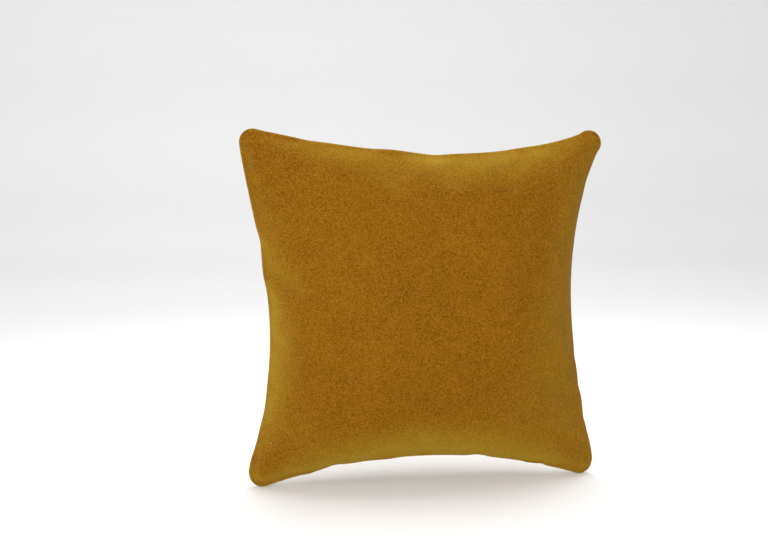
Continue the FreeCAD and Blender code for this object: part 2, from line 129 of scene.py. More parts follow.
def sewn_sides(count):
    """The seam's four sides, bottom, right, top and left, from the middle of ear to ear."""
    reach = HALF - EAR
    lines = []
    for k, side in enumerate(ROUND):
        start = np.array(EARS[k]) * reach
        along = (np.array(EARS[(k + 1) % 4]) * reach - start) / (2 * reach)
        inward = np.array([-along[1], along[0]])
        t = np.linspace(0.0, 1.0, 400)
        line = start + np.outer(t * 2 * reach, along) + np.outer(pulled_in(side, t), inward)
        step = np.gradient(line, axis=0)
        outward = np.stack([step[:, 1], -step[:, 0]], axis=1)
        outward /= np.linalg.norm(outward, axis=1)[:, None]
        lines.append((line, outward))
    ears = []
    for k in range(4):
        before, after = lines[k - 1][1][-1], lines[k][1][0]
        first = math.atan2(before[1], before[0])
        turn = (math.atan2(after[1], after[0]) - first) % (2 * math.pi)
        angle = first + turn * np.linspace(0.0, 1.0, 81)
        centre = np.array(EARS[k]) * reach
        ears.append(centre + EAR * np.stack([np.cos(angle), np.sin(angle)], axis=1))
    sides = []
    for k, (line, outward) in enumerate(lines):
        whole = [ears[k][40:], (line + outward * EAR)[1:-1], ears[(k + 1) % 4][:41]]
        sides.append(evenly(np.vstack(whole), count))
    return sides


def cut_sides(count):
    """The four sides of the flat cut panel: rounded corners, and sides eased in a little."""
    reach = CUT / 2 - EAR
    angle = np.radians(np.linspace(225, 270, 21))
    first = -reach + EAR * np.stack([np.cos(angle), np.sin(angle)], axis=1)
    line = evenly(np.vstack([first, first[::-1] * [-1, 1]]), count)
    line[:, 1] += CUT_EASE * np.sin(math.pi * np.linspace(0.0, 1.0, count + 1))
    quarter = np.array([[0, -1], [1, 0]])
    return [line @ np.linalg.matrix_power(quarter, k).T for k in range(4)]


def filled_in(sides):
    """A grid of points between four sides."""
    bottom, right, top, left = sides[0], sides[1], sides[2][::-1], sides[3][::-1]
    t = np.linspace(0.0, 1.0, len(bottom))
    u, v = t[:, None, None], t[None, :, None]
    across = (1 - v) * bottom[:, None] + v * top[:, None]
    upright = (1 - u) * left[None] + u * right[None]
    corners = (1 - u) * ((1 - v) * bottom[0] + v * top[0])
    corners = corners + u * ((1 - v) * bottom[-1] + v * top[-1])
    return across + upright - corners


# ---- the cover, sewn and stuffed --------------------------------------------------------------


def dome(count, power):
    """A grid of heights, 1 in the middle and 0 round the edge."""
    t = np.linspace(-1.0, 1.0, count + 1)
    return ((1 - t**2)[:, None] * (1 - t**2)[None, :]) ** power


def grid_faces(number, way):
    """Four-sided faces over a grid of vertex numbers; way is 1 where they face -Y."""
    quads = [number[:-1, :-1], number[1:, :-1], number[1:, 1:], number[:-1, 1:]]
    return np.stack(quads, axis=-1).reshape(-1, 4)[:, ::way]


def stuffed_cover(count):
    """Both panels as grids of points: cut flat, their edges drawn to the seam, then filled."""
    sewn, cut = filled_in(sewn_sides(count)), filled_in(cut_sides(count))
    n = count + 1
    front = np.arange(n * n).reshape(n, n)
    back = front.copy()
    back[1:-1, 1:-1] = n * n + np.arange((n - 2) ** 2).reshape(n - 2, n - 2)
    flat, pulled = (np.zeros((n * n + (n - 2) ** 2, 3)) for _ in range(2))
    for grid, way in ((front, -1), (back, 1)):
        for points, plan in ((flat, cut), (pulled, sewn)):
            points[grid, 0], points[grid, 2] = plan[..., 0], plan[..., 1] + MIDDLE
            points[grid, 1] = way * 4 * MM * dome(count, 1)
    faces = np.vstack([grid_faces(front, 1), grid_faces(back, -1)])
    mesh = bpy.data.meshes.new("cover_cloth")
    mesh.from_pydata(flat.tolist(), [], faces.tolist())
    cloth = bpy.data.objects.new("cover_cloth", mesh)
    bpy.context.scene.collection.objects.link(cloth)
    cloth.shape_key_add(name="cut")
    drawn = cloth.shape_key_add(name="sewn")
    drawn.data.foreach_set("co", pulled.astype(np.float32).ravel())
    for moment, value in ((1, 0.0), (SEW_FRAMES, 1.0)):
        drawn.value = value
        drawn.keyframe_insert("value", frame=moment)
    edge = np.unique(np.concatenate([front[0], front[-1], front[:, 0], front[:, -1]]))
    cloth.vertex_groups.new(name="seam").add(edge.tolist(), 1.0, "ADD")
    modifier = cloth.modifiers.new("cloth", "CLOTH")
    settings = modifier.settings
    settings.quality = 6
    settings.mass = 0.3
    settings.tension_stiffness = 20
    settings.compression_stiffness = 3
    settings.shear_stiffness = 5
    settings.bending_stiffness = 5
    settings.tension_damping = settings.compression_damping = 15
    settings.shear_damping = 10
    settings.bending_damping = 1
    settings.air_damping = 4
    settings.use_pressure = True
    settings.uniform_pressure_force = 30
    settings.vertex_group_mass = "seam"
    settings.effector_weights.gravity = 0
    last = SEW_FRAMES + FILL_FRAMES
    modifier.point_cache.frame_end = last
    for moment in range(1, last + 1):
        bpy.context.scene.frame_set(moment)
    shown = cloth.evaluated_get(bpy.context.evaluated_depsgraph_get()).data
    points = np.zeros(len(mesh.vertices) * 3, np.float32)
    shown.vertices.foreach_get("co", points)
    points = points.reshape(-1, 3).astype(float)
    action = mesh.shape_keys.animation_data.action
    bpy.data.objects.remove(cloth)
    bpy.data.meshes.remove(mesh)
    bpy.data.actions.remove(action)
    bpy.context.scene.frame_set(1)
    return points[front], points[back]


def finer(grid):
    """The grid with a point halfway between neighbours, on a smooth line through them."""
    for _ in range(2):
        padded = np.concatenate([2 * grid[:1] - grid[1:2], grid, 2 * grid[-1:] - grid[-2:-1]])
        halves = (9 * (padded[1:-2] + padded[2:-1]) - padded[:-3] - padded[3:]) / 16
        out = np.zeros((2 * len(grid) - 1, *grid.shape[1:]))
        out[::2], out[1::2] = grid, halves
        grid = out.swapaxes(0, 1)
    return grid


def smoothed(grid, times, amount=0.5):
    """Each inner point drawn towards its neighbours; the edge stays."""
    grid = grid.copy()
    for _ in range(times):
        middle = (grid[:-2, 1:-1] + grid[2:, 1:-1] + grid[1:-1, :-2] + grid[1:-1, 2:]) / 4
        grid[1:-1, 1:-1] += (middle - grid[1:-1, 1:-1]) * amount
    return grid


def surface_normals(grid, way):
    """Unit normals of a grid, out of the pillow; way is -1 for the front and 1 for the back."""
    across, upright = np.gradient(grid, axis=0), np.gradient(grid, axis=1)
    normal = np.cross(upright, across) * way
    return normal / np.linalg.norm(normal, axis=2)[..., None]


def ring_of(n):
    """Grid places round the edge of an n by n grid, from the lower left corner, rightwards."""
    step = np.arange(n - 1)
    end = np.full(n - 1, n - 1)
    i = np.concatenate([step, end, n - 1 - step, 0 * step])
    j = np.concatenate([0 * step, step, end, n - 1 - step])
    return i, j


def round_outward(loop):
    """Unit vectors out of a closed loop of points, in its own plane."""
    step = np.roll(loop, -1, axis=0) - np.roll(loop, 1, axis=0)
    outward = np.stack([step[:, 2], 0 * step[:, 0], -step[:, 0]], axis=1)
    return outward / np.linalg.norm(outward, axis=1)[:, None]


def ease(x):
    """From 0 to 1, gently at both ends."""
    x = np.clip(x, 0.0, 1.0)
    return x * x * (3 - 2 * x)


def along_zip(points):
    """How far round the zip's arc points are from its middle."""
    return np.arctan2(points[..., 0], points[..., 2] - ARC) * ZIP


# ---- making pieces ----------------------------------------------------------------------------


def piece_of(name, points, faces, finish, cuts=None, inside=None):
    """A mesh piece; cuts are flat places for its UV map, inside is (finish, first face)."""
    points = np.asarray(points, float).reshape(-1, 3)
    mesh = bpy.data.meshes.new(name)
    mesh.from_pydata(points.tolist(), [], [list(map(int, f)) for f in faces])
    mesh.materials.append(finish)
    mesh.polygons.foreach_set("use_smooth", np.ones(len(mesh.polygons), bool))
    if inside:
        mesh.materials.append(inside[0])
        index = (np.arange(len(mesh.polygons)) >= inside[1]).astype(np.int32)
        mesh.polygons.foreach_set("material_index", index)
    if cuts is not None:
        corners = np.zeros(len(mesh.loops), np.int32)
        mesh.loops.foreach_get("vertex_index", corners)
        layer = mesh.uv_layers.new(name="cut")
        layer.data.foreach_set("uv", cuts[corners].astype(np.float32).ravel())
    mesh.update()
    piece = bpy.data.objects.new(name, mesh)
    bpy.context.scene.collection.objects.link(piece)
    return piece


def placed(piece, body, node):
    """The piece rides on a body and stands for a CAD node."""
    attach(piece, body)
    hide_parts(node)
    return piece


def alone(piece):
    """Only this piece is selected and active."""
    bpy.ops.object.select_all(action="DESELECT")
    bpy.context.view_layer.objects.active = piece
    piece.select_set(True)


def ladder(rows):
    """Faces between closed rows of vertex numbers."""
    faces = []
    for lower, upper in zip(rows[:-1], rows[1:]):
        faces.append(np.stack([lower, np.roll(lower, -1), np.roll(upper, -1), upper], axis=1))
    return np.vstack(faces)


def tube(line, radius, sides=5):
    """Points and faces of a round thread along a line of points."""
    line = np.asarray(line, float)
    along = np.gradient(line, axis=0)
    along /= np.linalg.norm(along, axis=1)[:, None]
    side = np.cross(along, [0.0, 1.0, 0.0])
    bare = np.linalg.norm(side, axis=1) < 0.2
    side[bare] = np.cross(along[bare], [1.0, 0.0, 0.0])
    side /= np.linalg.norm(side, axis=1)[:, None]
    other = np.cross(along, side)
    angle = np.arange(sides) * 2 * math.pi / sides
    cosine, sine = np.cos(angle)[None, :, None], np.sin(angle)[None, :, None]
    ring = cosine * side[:, None] + sine * other[:, None]
    wide = np.full(len(line), radius) if np.isscalar(radius) else radius
    points = line[:, None] + ring * wide[:, None, None]
    number = np.arange(len(line) * sides).reshape(len(line), sides)
    faces = [list(f) for f in ladder(list(number))[:, ::-1]]
    faces += [list(number[0]), list(number[-1][::-1])]
    return points.reshape(-1, 3), faces


def gathered_up(parts):
    """Several lots of points and faces as one."""
    points, faces, count = [], [], 0
    for some, theirs in parts:
        points.append(np.asarray(some).reshape(-1, 3))
        faces += [[int(v) + count for v in f] for f in theirs]
        count += len(points[-1])
    return np.vstack(points), faces


def stitches(line, length, gap, radius, lift=0.0):
    """Short threads end to end along a line, each a little higher at its middle."""
    run = run_along(line)
    starts = np.arange(gap, run[-1] - length, length + gap)
    share = np.linspace(0.0, 1.0, 6)
    swell = np.array([0.35, 0.85, 1.0, 1.0, 0.85, 0.35])
    parts = []
    for start in starts:
        at = start + share * length
        middle = np.stack([np.interp(at, run, line[:, k]) for k in range(3)], axis=1)
        middle += np.outer(np.sin(share * math.pi) * lift, (0, 0, 1))
        parts.append(tube(middle, radius * swell))
    return gathered_up(parts)


# ---- finishes ---------------------------------------------------------------------------------


class Amount:
    """A number that changes over a surface and takes part in sums."""

    def __init__(self, finish, socket):
        self.finish, self.socket = finish, socket

    def _with(self, operation, first, second):
        return self.finish.node("ShaderNodeMath", {"operation": operation}, {0: first, 1: second})

    def __add__(self, other):
        return self._with("ADD", self, other)

    def __sub__(self, other):
        return self._with("SUBTRACT", self, other)

    def __rsub__(self, other):
        return self._with("SUBTRACT", other, self)

    def __mul__(self, other):
        return self._with("MULTIPLY", self, other)


class Finish:
    """A material: constants go on the shader's own sockets, and what varies comes from nodes."""

    def __init__(self, name, **constants):
        self.material = bpy.data.materials.new(name)
        self.material.use_nodes = True
        self.nodes = self.material.node_tree.nodes
        self.links = self.material.node_tree.links
        self.shader = self.nodes["Principled BSDF"]
        for socket, value in constants.items():
            self.shader.inputs[socket.replace("_", " ")].default_value = value

    def feed(self, socket, value):
        """Links an amount to a socket, or sets a constant on it."""
        if isinstance(value, Amount):
            self.links.new(value.socket, socket)
        else:
            socket.default_value = value

    def node(self, kind, settings=(), inputs=(), output=0):
        """A node of that kind, with its settings and inputs, as the amount it gives."""
        made = self.nodes.new(kind)
        for name, value in dict(settings).items():
            setattr(made, name, value)
        for name, value in dict(inputs).items():
            self.feed(made.inputs[name], value)
        return Amount(self, made.outputs[output])

    def places(self, which="Object"):
        return self.node("ShaderNodeTexCoord", output=which)

    def part(self, places, axis):
        return self.node("ShaderNodeSeparateXYZ", inputs={0: places}, output=axis)

    def speckle(self, places, size, detail=2.0, rough=0.5):
        """Noise from 0 to 1 with grains of about that size."""
        return self.node(
            "ShaderNodeTexNoise",
            inputs={"Vector": places, "Scale": 1 / size, "Detail": detail, "Roughness": rough},
        )

    def stretched(self, places, x, y, z):
        kind = "ShaderNodeVectorMath"
        return self.node(kind, {"operation": "MULTIPLY"}, {0: places, 1: (x, y, z)})

    def spread_out(self, amount, low, high):
        """The amount, with low to high stretched over 0 to 1."""
        inputs = {"Value": amount, "From Min": low, "From Max": high}
        return self.node("ShaderNodeMapRange", {"clamp": True}, inputs)

    def between(self, amount, first, second):
        """A colour on the way from the first to the second."""
        return self.node(
            "ShaderNodeMix", {"data_type": "RGBA"}, {0: amount, 6: first, 7: second}, output=2
        )

    def waves(self, amount, length):
        """Ridges from 0 to 1 across an amount in metres."""
        turn = amount * (2 * math.pi / length)
        return self.node("ShaderNodeMath", {"operation": "SINE"}, {0: turn}) * 0.5 + 0.5

    def coloured(self, value):
        self.feed(self.shader.inputs["Base Color"], value)

    def roughened(self, value):
        self.feed(self.shader.inputs["Roughness"], value)

    def raised(self, height, depth, strength=1.0):
        inputs = {"Height": height, "Distance": depth, "Strength": strength}
        bump = self.node("ShaderNodeBump", inputs=inputs)
        self.links.new(bump.socket, self.shader.inputs["Normal"])


def colour(red, green, blue):
    """A linear colour, opaque."""
    return (red, green, blue, 1.0)


def velvet_pile():
    """Short dense pile, deep amber; the olive gold where it is seen edge on is a painted sheen in
    the base colour, weaker on the side that faces +X.
    """
    f = Finish("velvet_pile", Roughness=0.95, Sheen_Weight=0.12, Sheen_Roughness=0.35)
    f.shader.inputs["Specular IOR Level"].default_value = 0.05
    f.shader.inputs["Sheen Tint"].default_value = colour(0.90, 0.70, 0.14)
    places = f.places()
    grain = f.spread_out(f.speckle(places, 1.9 * MM, 2.0, 0.7), 0.40, 0.60)
    fleck = f.spread_out(f.speckle(places, 1.1 * MM, 1.0), 0.39, 0.61)
    nap = f.spread_out(f.speckle(places, 16 * MM, 2.0), 0.3, 0.7)
    drift = f.spread_out(f.speckle(places, 90 * MM, 1.0), 0.3, 0.7)
    depth = grain * 0.50 + fleck * 0.34 + nap * 0.08 + drift * 0.08
    into = f.between(depth, colour(0.088, 0.033, 0.0016), colour(0.300, 0.123, 0.0058))
    # across is the olive gold of a painted sheen, mixed into the base colour where the pile is
    # seen edge on.
    across = f.between(depth, colour(0.242, 0.139, 0.0085), colour(0.395, 0.234, 0.018))
    # Layer Weight facing sets where the painted sheen shows, so it moves with the view.
    facing = f.node("ShaderNodeLayerWeight", inputs={"Blend": 0.5}, output="Facing")
    facing = f.spread_out(facing, 0.12, 0.62)
    # Where the surface looks towards +X it shows less of the painted sheen: painted shade on the
    # right side, away from the key light.
    right_side_shade = f.spread_out(f.part(f.places("Normal"), "X"), 0.15, 0.75)
    painted_sheen = facing * (1 - right_side_shade * 0.75)
    f.coloured(f.between(painted_sheen, into, across))
    f.raised(grain * 0.6 + fleck * 0.4, 0.5 * MM, 0.6)
    return f.material


def velvet_backing():
    """The woven side of the velvet, inside the cover."""
    f = Finish("velvet_backing", Roughness=0.9, Sheen_Weight=0.1)
    cut = f.places("UV")
    warp = f.waves(f.part(cut, "X"), 0.9 * MM)
    weft = f.waves(f.part(cut, "Y"), 0.9 * MM)
    weave = warp * weft + (1 - warp) * (1 - weft)
    slub = f.speckle(f.stretched(cut, 1, 8, 1), 6 * MM)
    shade = weave * 0.6 + slub * 0.4
    f.coloured(f.between(shade, colour(0.20, 0.10, 0.02), colour(0.42, 0.26, 0.08)))
    f.raised(weave, 0.15 * MM, 0.7)
    return f.material


def spun_thread(name, dark, light):
    """Two-ply sewing thread."""
    f = Finish(name, Roughness=0.55, Sheen_Weight=0.3, Sheen_Roughness=0.4)
    places = f.places()
    ply = f.waves(f.part(places, "X") + f.part(places, "Z") + f.part(places, "Y") * 1.4, 0.5 * MM)
    fluff = f.speckle(places, 0.4 * MM)
    f.coloured(f.between(ply * 0.6 + fluff * 0.4, dark, light))
    f.raised(ply, 0.08 * MM, 0.8)
    return f.material


def zip_webbing():
    """Herringbone tape, in stripes that change direction."""
    f = Finish("zip_webbing", Roughness=0.7, Sheen_Weight=0.2)
    places = f.places()
    x, y = f.part(places, "X"), f.part(places, "Y")
    stripe = f.node("ShaderNodeMath", {"operation": "PINGPONG"}, {0: y + 1.0, 1: 1.2 * MM})
    twill = f.waves(x + stripe * 1.5, 0.55 * MM)
    fluff = f.speckle(places, 0.7 * MM)
    shade = twill * 0.7 + fluff * 0.3
    f.coloured(f.between(shade, colour(0.17, 0.075, 0.008), colour(0.36, 0.18, 0.025)))
    f.raised(twill, 0.12 * MM, 0.8)
    return f.material


def coil_nylon():
    """Drawn nylon, streaked along its length."""
    f = Finish("coil_nylon", Roughness=0.3)
    places = f.places()
    streak = f.speckle(places, 1.5 * MM, 3.0)
    f.coloured(f.between(streak, colour(0.19, 0.085, 0.010), colour(0.33, 0.16, 0.022)))
    f.roughened(streak * 0.2 + 0.2)
    f.raised(f.speckle(places, 0.3 * MM), 0.03 * MM, 0.4)
    return f.material


def aged_brass():
    """Plated metal: bright where it is rubbed, duller and browner elsewhere."""
    f = Finish("aged_brass", Metallic=1.0)
    places = f.places()
    tarnish = f.spread_out(f.speckle(places, 1.8 * MM, 4.0, 0.65), 0.35, 0.7)
    fine = f.speckle(f.stretched(places, 1, 6, 6), 0.5 * MM, 2.0)
    f.coloured(f.between(tarnish, colour(0.62, 0.43, 0.20), colour(0.33, 0.21, 0.09)))
    f.roughened(tarnish * 0.25 + fine * 0.15 + 0.18)
    f.raised(fine, 0.02 * MM, 0.5)
    return f.material


def calico():
    """The insert's plain white cotton, over the cut's own threads."""
    f = Finish("calico", Roughness=0.85, Sheen_Weight=0.15)
    cut = f.places("UV")
    warp, weft = f.waves(f.part(cut, "X"), 1.1 * MM), f.waves(f.part(cut, "Y"), 1.1 * MM)
    weave = warp * weft + (1 - warp) * (1 - weft)
    slub = f.spread_out(f.speckle(f.stretched(cut, 1, 10, 1), 9 * MM, 3.0), 0.35, 0.65)
    crease = f.speckle(f.places(), 30 * MM, 3.0)
    shade = weave * 0.35 + slub * 0.35 + crease * 0.3
    f.coloured(f.between(shade, colour(0.60, 0.58, 0.53), colour(0.84, 0.83, 0.80)))
    f.raised(weave * 0.4 + crease * 4.0, 0.4 * MM, 0.6)
    return f.material


def hollow_fibre():
    """Crimped white filling, felted into tufts."""
    f = Finish("hollow_fibre", Roughness=0.9, Sheen_Weight=0.5)
    places = f.places()
    tuft = f.speckle(places, 22 * MM, 3.0)
    strand = f.speckle(f.stretched(places, 1, 4, 9), 6 * MM, 4.0, 0.7)
    shade = tuft * 0.5 + strand * 0.5
    f.coloured(f.between(shade, colour(0.62, 0.62, 0.62), colour(0.93, 0.93, 0.92)))
    f.raised(strand * 0.6 + tuft, 2.0 * MM, 0.7)
    return f.material


def satin_tape():
    """Blank woven satin label, ribbed along its length."""
    f = Finish("satin_tape", Roughness=0.45, Sheen_Weight=0.2)
    places = f.places()
    rib = f.waves(f.part(places, "Z"), 0.7 * MM)
    cross = f.waves(f.part(places, "X") + f.part(places, "Y"), 0.5 * MM)
    fluff = f.speckle(places, 3 * MM)
    shade = rib * 0.4 + cross * 0.2 + fluff * 0.4
    f.coloured(f.between(shade, colour(0.62, 0.60, 0.54), colour(0.83, 0.81, 0.75)))
    f.roughened(rib * 0.15 + 0.38)
    f.raised(rib * 0.7 + cross * 0.3, 0.08 * MM, 0.7)
    return f.material


velvet = velvet_pile()
backing = velvet_backing()
gold_thread = spun_thread("gold_thread", colour(0.22, 0.095, 0.008), colour(0.45, 0.23, 0.03))
white_thread = spun_thread("white_thread", colour(0.55, 0.54, 0.50), colour(0.86, 0.85, 0.82))
webbing = zip_webbing()
nylon = coil_nylon()
brass = aged_brass()
cotton = calico()
fibre = hollow_fibre()
satin = satin_tape()


# ---- the cover --------------------------------------------------------------------------------


def plump(grid, way):
    """The grid with its ears filled out, smooth, at its full thickness."""
    plan = filled_in(sewn_sides(len(grid) - 1)) + [0.0, MIDDLE]
    flat = grid[..., [0, 2]]
    tips = [flat[a, b] for a in (0, -1) for b in (0, -1)]
    to_tip = np.min([np.linalg.norm(flat - tip, axis=2) for tip in tips], axis=0)
    calm = np.exp(-((to_tip / (60 * MM)) ** 2))[..., None]
    flat = flat + (plan - flat) * calm
    edges = [flat[:1], flat[-1:], flat[:, :1], flat[:, -1:]]
    inset = np.min([np.linalg.norm(flat - edge, axis=2) for edge in edges], axis=0)
    filled = 30 * MM * (1 - np.exp(-inset / (24 * MM)))
    height = grid[..., 1] * way
    height = height + 3 * MM * np.logaddexp(0, (filled - height) / (3 * MM)) * calm[..., 0]
    height = smoothed(height * (inset > 0), 6)
    full = smoothed(np.stack([flat[..., 0], height * way, flat[..., 1]], axis=-1), 3)
    full[..., 1] *= (CROWN - 0.5 * MM) / np.abs(full[..., 1]).max()
    return finer(full)


front_grid, back_grid = (plump(g, way) for g, way in zip(stuffed_cover(CLOTH_CELLS), (-1, 1)))
CELLS = len(front_grid) - 1
cut_grid = filled_in(cut_sides(CELLS))
I, J = ring_of(CELLS + 1)
seam = front_grid[I, J]
seam[:, 1] = 0.0
outward = round_outward(seam)
zip_run = np.where(J == 0, along_zip(seam), 1.0)
zip_open = ease((OPEN_END - np.abs(zip_run)) / OPEN_BLEND)

# Across the edge of a panel, from the crown's side inwards: how far out from the seam's line
# and how far from its plane, where the seam is closed and where the zip is. The panel rolls
# over, turns in along the seam, and comes back on its inner side; at the zip it turns outward
# under the tape. Millimetres.
EDGE = [
    ((-0.35, 1.75), (-1.70, 5.90)),
    ((0.00, 1.00), (-1.55, 5.05)),
    ((-0.35, 0.35), (-1.95, 4.40)),
    ((-1.20, 0.08), (-2.80, 4.14)),
    ((-2.65, 0.26), (-4.60, 4.12)),
    ((-4.20, 0.08), (-9.25, 4.12)),
    ((-10.0, 0.08), (-9.25, 10.0)),
    ((-10.0, 1.28), (-8.05, 10.0)),
    ((-4.20, 1.28), (-8.05, 5.32)),
    ((-2.00, 1.28), (-3.40, 5.32)),
]
# How much of the front lip's wavers each line of the edge takes.
LIP_SHARES = [1.0, 1.0, 0.7, 0.35, 0.0, 0.0, 0.0, 0.0, 0.0, 0.9]

# Where the front lip over the zip wavers: place from the middle, reach along it, how far in.
LIP_WAVERS = np.array([
    (-150, 9, -1.3), (-115, 12, 2.2), (-50, 15, -1.2),
    (70, 12, 2.3), (137, 8, -0.8), (155, 6, 0.9),
]) * MM


def lip_wavers(run):
    """How much further in the front lip lies, at each place along the zip."""
    humps = [much * np.exp(-(((run - place) / reach) ** 2)) for place, reach, much in LIP_WAVERS]
    return sum(humps)


def from_edges(grid):
    """How far each point of a grid is from the nearest edge, and from the lower edge."""
    def apart(other):
        return np.linalg.norm(grid - other, axis=2)

    below = apart(grid[:, :1])
    sides = [apart(grid[:1]), apart(grid[-1:]), apart(grid[:, -1:]), below]
    return np.min(sides, axis=0), below


def sewn_panel(name, grid, inner, way, rings, finishes, cuts):
    """A closed panel: outer grid, rings of points round its edge, and inner grid."""
    n = len(grid)
    i, j = ring_of(n)
    number = np.arange(n * n).reshape(n, n)
    inner_number = number + n * n + len(i) * len(rings)
    between = [np.arange(len(i)) + n * n + len(i) * k for k in range(len(rings))]
    rows = [number[i, j], *between, inner_number[i, j]]
    edge_faces = ladder(rows)[:, ::way]
    turned = (len(rings) - 3) * len(i)
    outer = np.vstack([grid_faces(number, -way), edge_faces[:turned]])
    faces = np.vstack([outer, edge_faces[turned:], grid_faces(inner_number, way)])
    points = [grid.reshape(-1, 3), *rings, inner.reshape(-1, 3)]
    away = cuts[i, j] / np.linalg.norm(cuts[i, j], axis=1)[:, None]
    edge_cuts = [cuts[i, j] + away * 1.5 * MM * (k + 1) for k in range(len(rings))]
    flat = [cuts.reshape(-1, 2), *edge_cuts, cuts.reshape(-1, 2)]
    inside = (finishes[1], len(outer))
    return piece_of(name, np.vstack(points), faces, finishes[0], np.vstack(flat), inside)


def beside_a_label(line, side):
    """Where a line round the seam runs past the label on that side of the pillow."""
    return (np.abs(line[:, 2] - MIDDLE) < LABEL_ROOM) & (line[:, 0] * side > 0)


def puckered(grid, way, near, much, size, seed):
    """The grid with small seam puckers pressed into it near its edge."""
    dents = [[noise.noise(Vector((p[0], way * seed, p[2])) / size) for p in row] for row in grid]
    hold = np.clip(near / (4 * MM), 0, 1) * np.clip(1 - near / (34 * MM), 0, 1)
    return grid + surface_normals(grid, way) * (np.array(dents) * hold * much)[..., None]


def cover_panel(name, grid, way, node):
    """A velvet panel with its rolled, turned-in edge; way is -1 in front and 1 behind."""
    near, below = from_edges(grid)
    sideways = np.array([0.0, 1.0, 0.0]) * way
    closed, opened = np.array(EDGE[0]) * MM
    share = np.clip(1 - near / (12 * MM), 0, 1) ** 2
    lower = np.zeros(grid.shape)
    lower[:] = outward[: len(grid)][:, None]
    run = along_zip(grid[:, 0])
    open_run = ease((OPEN_END - np.abs(run)) / OPEN_BLEND)
    zip_share = np.clip(1 - below / (30 * MM), 0, 1) ** 2 * open_run[:, None]
    grid = grid + (share * closed[1] + zip_share * (opened[1] - closed[1]))[..., None] * sideways
    grid += lower * (zip_share * (opened[0] - closed[0]))[..., None]
    wavers = lip_wavers(zip_run) * (way < 0)
    lip_share = np.clip(1 - below / (24 * MM), 0, 1) ** 2 * (way < 0)
    grid -= lower * (lip_share * lip_wavers(along_zip(grid[:, 0]))[:, None])[..., None]
    grid = puckered(grid, way, near, 0.9 * MM, 14 * MM, 3.0)
    inner = grid - surface_normals(grid, way) * VELVET_THICK
    label = beside_a_label(seam, 1) * 0.3 * MM
    rings = []
    for (shut, wide), share in zip(EDGE, LIP_SHARES):
        shut, wide = np.array(shut) * MM, np.array(wide) * MM
        place = shut + (wide - shut) * zip_open[:, None]
        place[:, 0] -= wavers * share
        place[:, 1] += label * (shut[0] < -4 * MM)
        rings.append(seam + outward * place[:, :1] + sideways * place[:, 1:])
    grid[I, J] = rings[0]
    piece = sewn_panel(name, grid, inner, way, rings[1:], (velvet, backing), cut_grid)
    return placed(piece, "cushion", node)


def area_inside(loop):
    """The area inside a closed line, below 0 where it runs clockwise."""
    following = np.roll(loop, -1, axis=0)
    return float(np.sum(loop[:, 0] * following[:, 1] - following[:, 0] * loop[:, 1]) / 2)


front_panel = cover_panel("cover_front", front_grid, -1, "cover_front_panel")
back_panel = cover_panel("cover_back", back_grid, 1, "cover_back_panel")

cut_area = area_inside(cut_grid[I, J])


def inside_seam(distance):
    """The line that far inside the closed part of the seam, from one zip end to the other."""
    end = OPEN_END - 2 * MM
    first = int(np.argmax((J == 0) & (zip_run > end)))
    last = int(np.argmax((J == 0) & (zip_run > -end)))
    order = np.arange(first, last + len(I)) % len(I)
    return seam[order] - outward[order] * distance


sewing = stitches(inside_seam(SEAM_INSET), 2.7 * MM, 0.3 * MM, 0.25 * MM)
seam_stitches = piece_of("cover_seam_stitches", *sewing, gold_thread)
placed(seam_stitches, "cushion", "cover_seam_thread")


def spiral(line, along, across, pitch, steps, square=1.0):
    """A thread wound round a line: along is its reach in the line's plane, across its height."""
    run = run_along(line)
    out = np.gradient(line, axis=0)
    out = np.stack([out[:, 2], 0 * out[:, 0], -out[:, 0]], axis=1)
    out /= np.linalg.norm(out, axis=1)[:, None]
    beat = np.arange(int(run[-1] / pitch) * steps + 1) / steps
    centre = np.stack([np.interp(beat * pitch, run, line[:, k]) for k in range(3)], axis=1)
    away = np.stack([np.interp(beat * pitch, run, out[:, k]) for k in range(3)], axis=1)
    wave = np.sin(beat * 2 * math.pi)
    path = centre + away * (np.cos(beat * 2 * math.pi) * along)[:, None]
    path[:, 1] += np.sign(wave) * np.abs(wave) ** square * across
    return path


raw_edge = inside_seam(8.2 * MM)
wound = spiral(raw_edge, 2.05 * MM, 1.45 * MM, 2.4 * MM, 10, 0.5)
wound[:, 1] *= 1 + 0.2 * beside_a_label(wound, 1)
overlock = piece_of("cover_overlock_thread", *tube(wound, 0.14 * MM, sides=4), gold_thread)
placed(overlock, "cushion", "cover_overlock")


# ---- the insert -------------------------------------------------------------------------------


def drawn_in(grid, share, flatter):
    """A grid like this one, smaller in the seam's plane and flatter."""
    middle = np.array([0.0, 0.0, MIDDLE])
    return (grid - middle) * [share, flatter, share] + middle


# The shell's edge, as the cover's: how far out from the seam and how far from its plane.
SHELL_EDGE = [
    (-0.20, 0.70), (0.00, 0.40), (-0.15, 0.14), (-0.60, 0.05), (-2.65, 0.24), (-4.00, 0.05),
    (-7.00, 0.05), (-7.00, 0.54), (-4.00, 0.54), (-1.00, 0.54),
]
SNUG = 1 - 2.6 * MM / CROWN  # the insert's thickness as a share of the cover's


def insert_shell(name, cover, way, node):
    """One cotton half of the insert, creased a little, with its turned-in edge."""
    grid = drawn_in(cover[::2, ::2], INSERT_SHARE, SNUG)
    i, j = ring_of(len(grid))
    edge = grid[i, j] * [1.0, 0.0, 1.0]
    out, sideways = round_outward(edge), np.array([0.0, 1.0, 0.0]) * way
    near, _ = from_edges(grid)
    grid = grid + (np.clip(1 - near / (8 * MM), 0, 1) ** 2 * 0.7 * MM)[..., None] * sideways
    grid = puckered(grid, way, near, 2.0 * MM, 11 * MM, 7.0)
    inner = grid - surface_normals(grid, way) * COTTON_THICK
    label = beside_a_label(edge, -1) * 0.3 * MM
    rings = []
    for away, across in SHELL_EDGE:
        rings.append(edge + out * away * MM + sideways * (across * MM + label[:, None]))
    grid[i, j] = rings[0]
    cuts = cut_grid[::2, ::2] * INSERT_SHARE
    piece = sewn_panel(name, grid, inner, way, rings[1:], (cotton, cotton), cuts)
    placed(piece, "cushion", node)
    return edge, out


